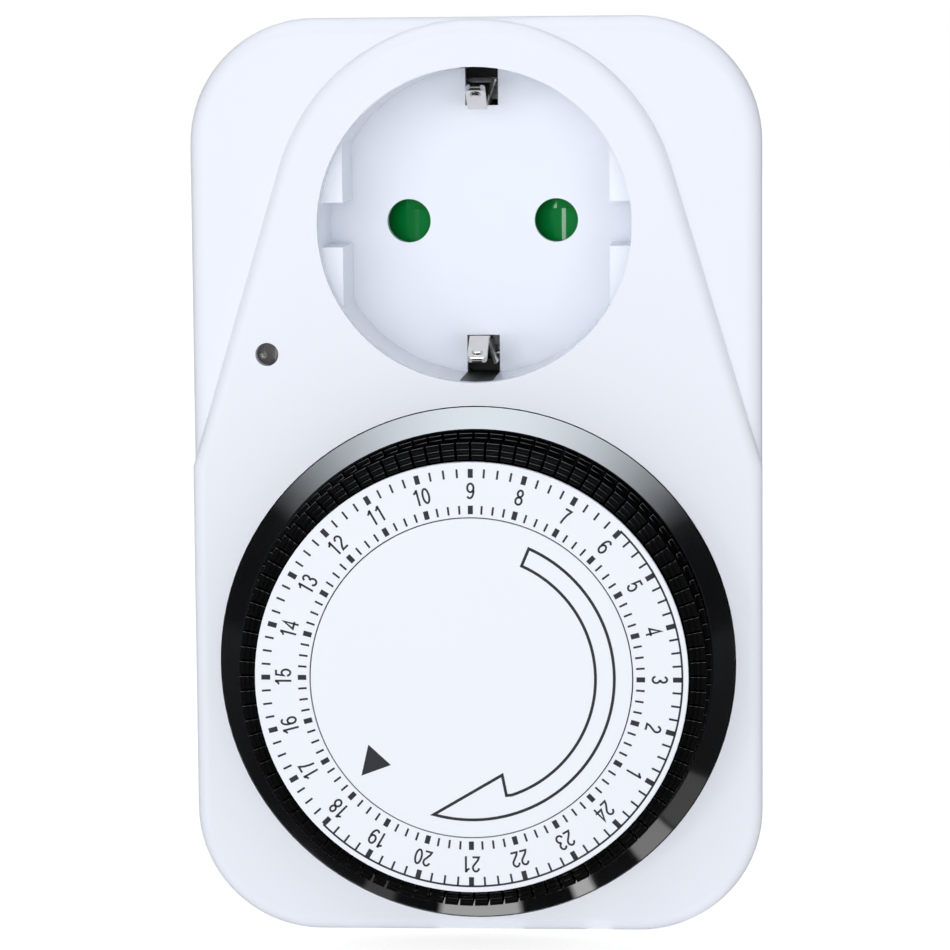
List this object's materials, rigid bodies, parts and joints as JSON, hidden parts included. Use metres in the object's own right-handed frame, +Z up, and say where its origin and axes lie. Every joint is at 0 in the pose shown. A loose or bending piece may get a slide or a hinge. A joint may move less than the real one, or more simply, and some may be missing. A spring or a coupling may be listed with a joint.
{
  "type": "plug in timer switch",
  "caption": "Plug in mechanical day timer: white case, recessed side-earth outlet over a black tappet dial with white hour scale, plug behind.",
  "frame": {"origin": "middle of the plug's end face, between its two pins", "axes": "+Y along the plug pins towards the wall, +Z up from the dial to the outlet, +X to the right as seen from the front; the dial faces -Y"},
  "size_m": [0.0716, 0.0793, 0.115],
  "materials": {
    "case_white": "smooth, slightly glossy, bluish white",
    "outlet_white": "glossy, bluish white",
    "dial_black": "satin black",
    "tappet_black": "satin black with fine ridges",
    "scale_white": "smooth white with dark printed scale",
    "shutter_green": "glossy green",
    "inner_black": "matte black",
    "gear_natural": "satin natural white",
    "lever_grey": "matte grey",
    "slider_black": "matte black, ribbed",
    "nickel": "bright nickel plate",
    "brass": "plain brass",
    "steel": "zinc plated steel",
    "motor_can": "drawn steel, satin",
    "copper": "enamelled copper wire",
    "lamp_glass": "clear glass, faint warm tint",
    "resistor_body": "lacquered, tan",
    "lead_insulation": "blue insulation",
    "lamp_wire": "tinned wire"
  },
  "bodies": {
    "case": {"front_cover": "case_white", "rear_cover": "case_white", "plug_body": "case_white", "case_screws": "steel", "plug_pin_live": "nickel", "plug_pin_neutral": "nickel", "socket_insert": "outlet_white", "contact_carrier": "inner_black", "live_contact": "brass", "neutral_contact": "brass", "earth_strap_top": "nickel", "earth_strap_bottom": "nickel", "earth_bridge": "brass", "neon_lamp": "lamp_glass", "lamp_resistor": "resistor_body", "lamp_leads": "lamp_wire", "centre_disc": "scale_white", "dial_clip": "steel", "idler_axle": "steel", "motor_lid": "motor_can", "motor_case": "motor_can", "motor_coil": "copper", "motor_screws": "steel", "motor_leads": "lead_insulation", "movement_plate": "inner_black", "plate_screws": "steel", "lever_pin": "steel", "microswitch_case": "inner_black", "switch_terminals": "brass", "switch_screws": "steel", "live_in_strip": "brass", "live_out_strip": "brass", "shutter_spring": "steel", "lever_spring": "steel"},
    "dial": {"dial_wheel": "dial_black", "scale_disc": "scale_white"},
    "idler": {"idler_gear": "gear_natural"},
    "motor_output": {"motor_pinion": "brass"},
    "lever": {"follower_lever": "lever_grey"},
    "plunger": {"microswitch_plunger": "gear_natural"},
    "shutter": {"shutter": "shutter_green"},
    "override": {"override_slider": "slider_black"},
    "tappets_01_to_03": {"tappets_01_to_03": "tappet_black"},
    "tappets_03_to_05": {"tappets_03_to_05": "tappet_black"},
    "tappets_05_to_07": {"tappets_05_to_07": "tappet_black"},
    "tappets_07_to_09": {"tappets_07_to_09": "tappet_black"},
    "tappets_09_to_11": {"tappets_09_to_11": "tappet_black"},
    "tappets_11_to_13": {"tappets_11_to_13": "tappet_black"},
    "tappets_13_to_15": {"tappets_13_to_15": "tappet_black"},
    "tappets_15_to_17": {"tappets_15_to_17": "tappet_black"},
    "tappets_17_to_19": {"tappets_17_to_19": "tappet_black"},
    "tappets_19_to_21": {"tappets_19_to_21": "tappet_black"},
    "tappets_21_to_23": {"tappets_21_to_23": "tappet_black"},
    "tappets_23_to_01": {"tappets_23_to_01": "tappet_black"}
  },
  "joints": [
    {"name": "dial_turn", "type": "hinge", "parent": "case", "child": "dial", "pos_m": [0, -0.05, -0.0549], "axis": [0, 1, 0], "continuous": true},
    {"name": "tappets_01_to_03_press", "type": "slide", "parent": "dial", "child": "tappets_01_to_03", "axis": [0, 1, 0], "range_m": [0, 0.003]},
    {"name": "tappets_03_to_05_press", "type": "slide", "parent": "dial", "child": "tappets_03_to_05", "axis": [0, 1, 0], "range_m": [0, 0.003]},
    {"name": "tappets_05_to_07_press", "type": "slide", "parent": "dial", "child": "tappets_05_to_07", "axis": [0, 1, 0], "range_m": [0, 0.003]},
    {"name": "tappets_07_to_09_press", "type": "slide", "parent": "dial", "child": "tappets_07_to_09", "axis": [0, 1, 0], "range_m": [0, 0.003]},
    {"name": "tappets_09_to_11_press", "type": "slide", "parent": "dial", "child": "tappets_09_to_11", "axis": [0, 1, 0], "range_m": [0, 0.003]},
    {"name": "tappets_11_to_13_press", "type": "slide", "parent": "dial", "child": "tappets_11_to_13", "axis": [0, 1, 0], "range_m": [0, 0.003]},
    {"name": "tappets_13_to_15_press", "type": "slide", "parent": "dial", "child": "tappets_13_to_15", "axis": [0, 1, 0], "range_m": [0, 0.003]},
    {"name": "tappets_15_to_17_press", "type": "slide", "parent": "dial", "child": "tappets_15_to_17", "axis": [0, 1, 0], "range_m": [0, 0.003]},
    {"name": "tappets_17_to_19_press", "type": "slide", "parent": "dial", "child": "tappets_17_to_19", "axis": [0, 1, 0], "range_m": [0, 0.003]},
    {"name": "tappets_19_to_21_press", "type": "slide", "parent": "dial", "child": "tappets_19_to_21", "axis": [0, 1, 0], "range_m": [0, 0.003]},
    {"name": "tappets_21_to_23_press", "type": "slide", "parent": "dial", "child": "tappets_21_to_23", "axis": [0, 1, 0], "range_m": [0, 0.003]},
    {"name": "tappets_23_to_01_press", "type": "slide", "parent": "dial", "child": "tappets_23_to_01", "axis": [0, 1, 0], "range_m": [0, 0.003]},
    {"name": "idler_turn", "type": "hinge", "parent": "case", "child": "idler", "pos_m": [0.01358, -0.042, -0.04132], "axis": [0, 1, 0], "continuous": true},
    {"name": "motor_output_turn", "type": "hinge", "parent": "case", "child": "motor_output", "pos_m": [0.00509, -0.038, -0.04981], "axis": [0, 1, 0], "continuous": true},
    {"name": "lever_swing", "type": "hinge", "parent": "case", "child": "lever", "pos_m": [-0.02074, -0.0373, -0.06], "axis": [1, 0, 0], "range_deg": [0, 12.5], "deforming": ["lever_spring"]},
    {"name": "plunger_press", "type": "slide", "parent": "case", "child": "plunger", "axis": [0, 1, 0], "range_m": [0, 0.0012]},
    {"name": "shutter_slide", "type": "slide", "parent": "case", "child": "shutter", "axis": [1, 0, 0], "range_m": [0, 0.0058], "stiffness_N_per_m": 80, "springref_m": -0.003, "deforming": ["shutter_spring"]},
    {"name": "override_slide", "type": "slide", "parent": "case", "child": "override", "axis": [0, 0, -1], "range_m": [0, 0.004]}
  ],
  "couplings": [
    {"joint": "idler_turn", "follows": "dial_turn", "ratio": 5},
    {"joint": "motor_output_turn", "follows": "dial_turn", "ratio": -15},
    {"joint": "lever_swing", "follows": "tappets_17_to_19_press", "rad_per_m": 72.7},
    {"joint": "plunger_press", "follows": "tappets_17_to_19_press", "ratio": 0.38}
  ]
}
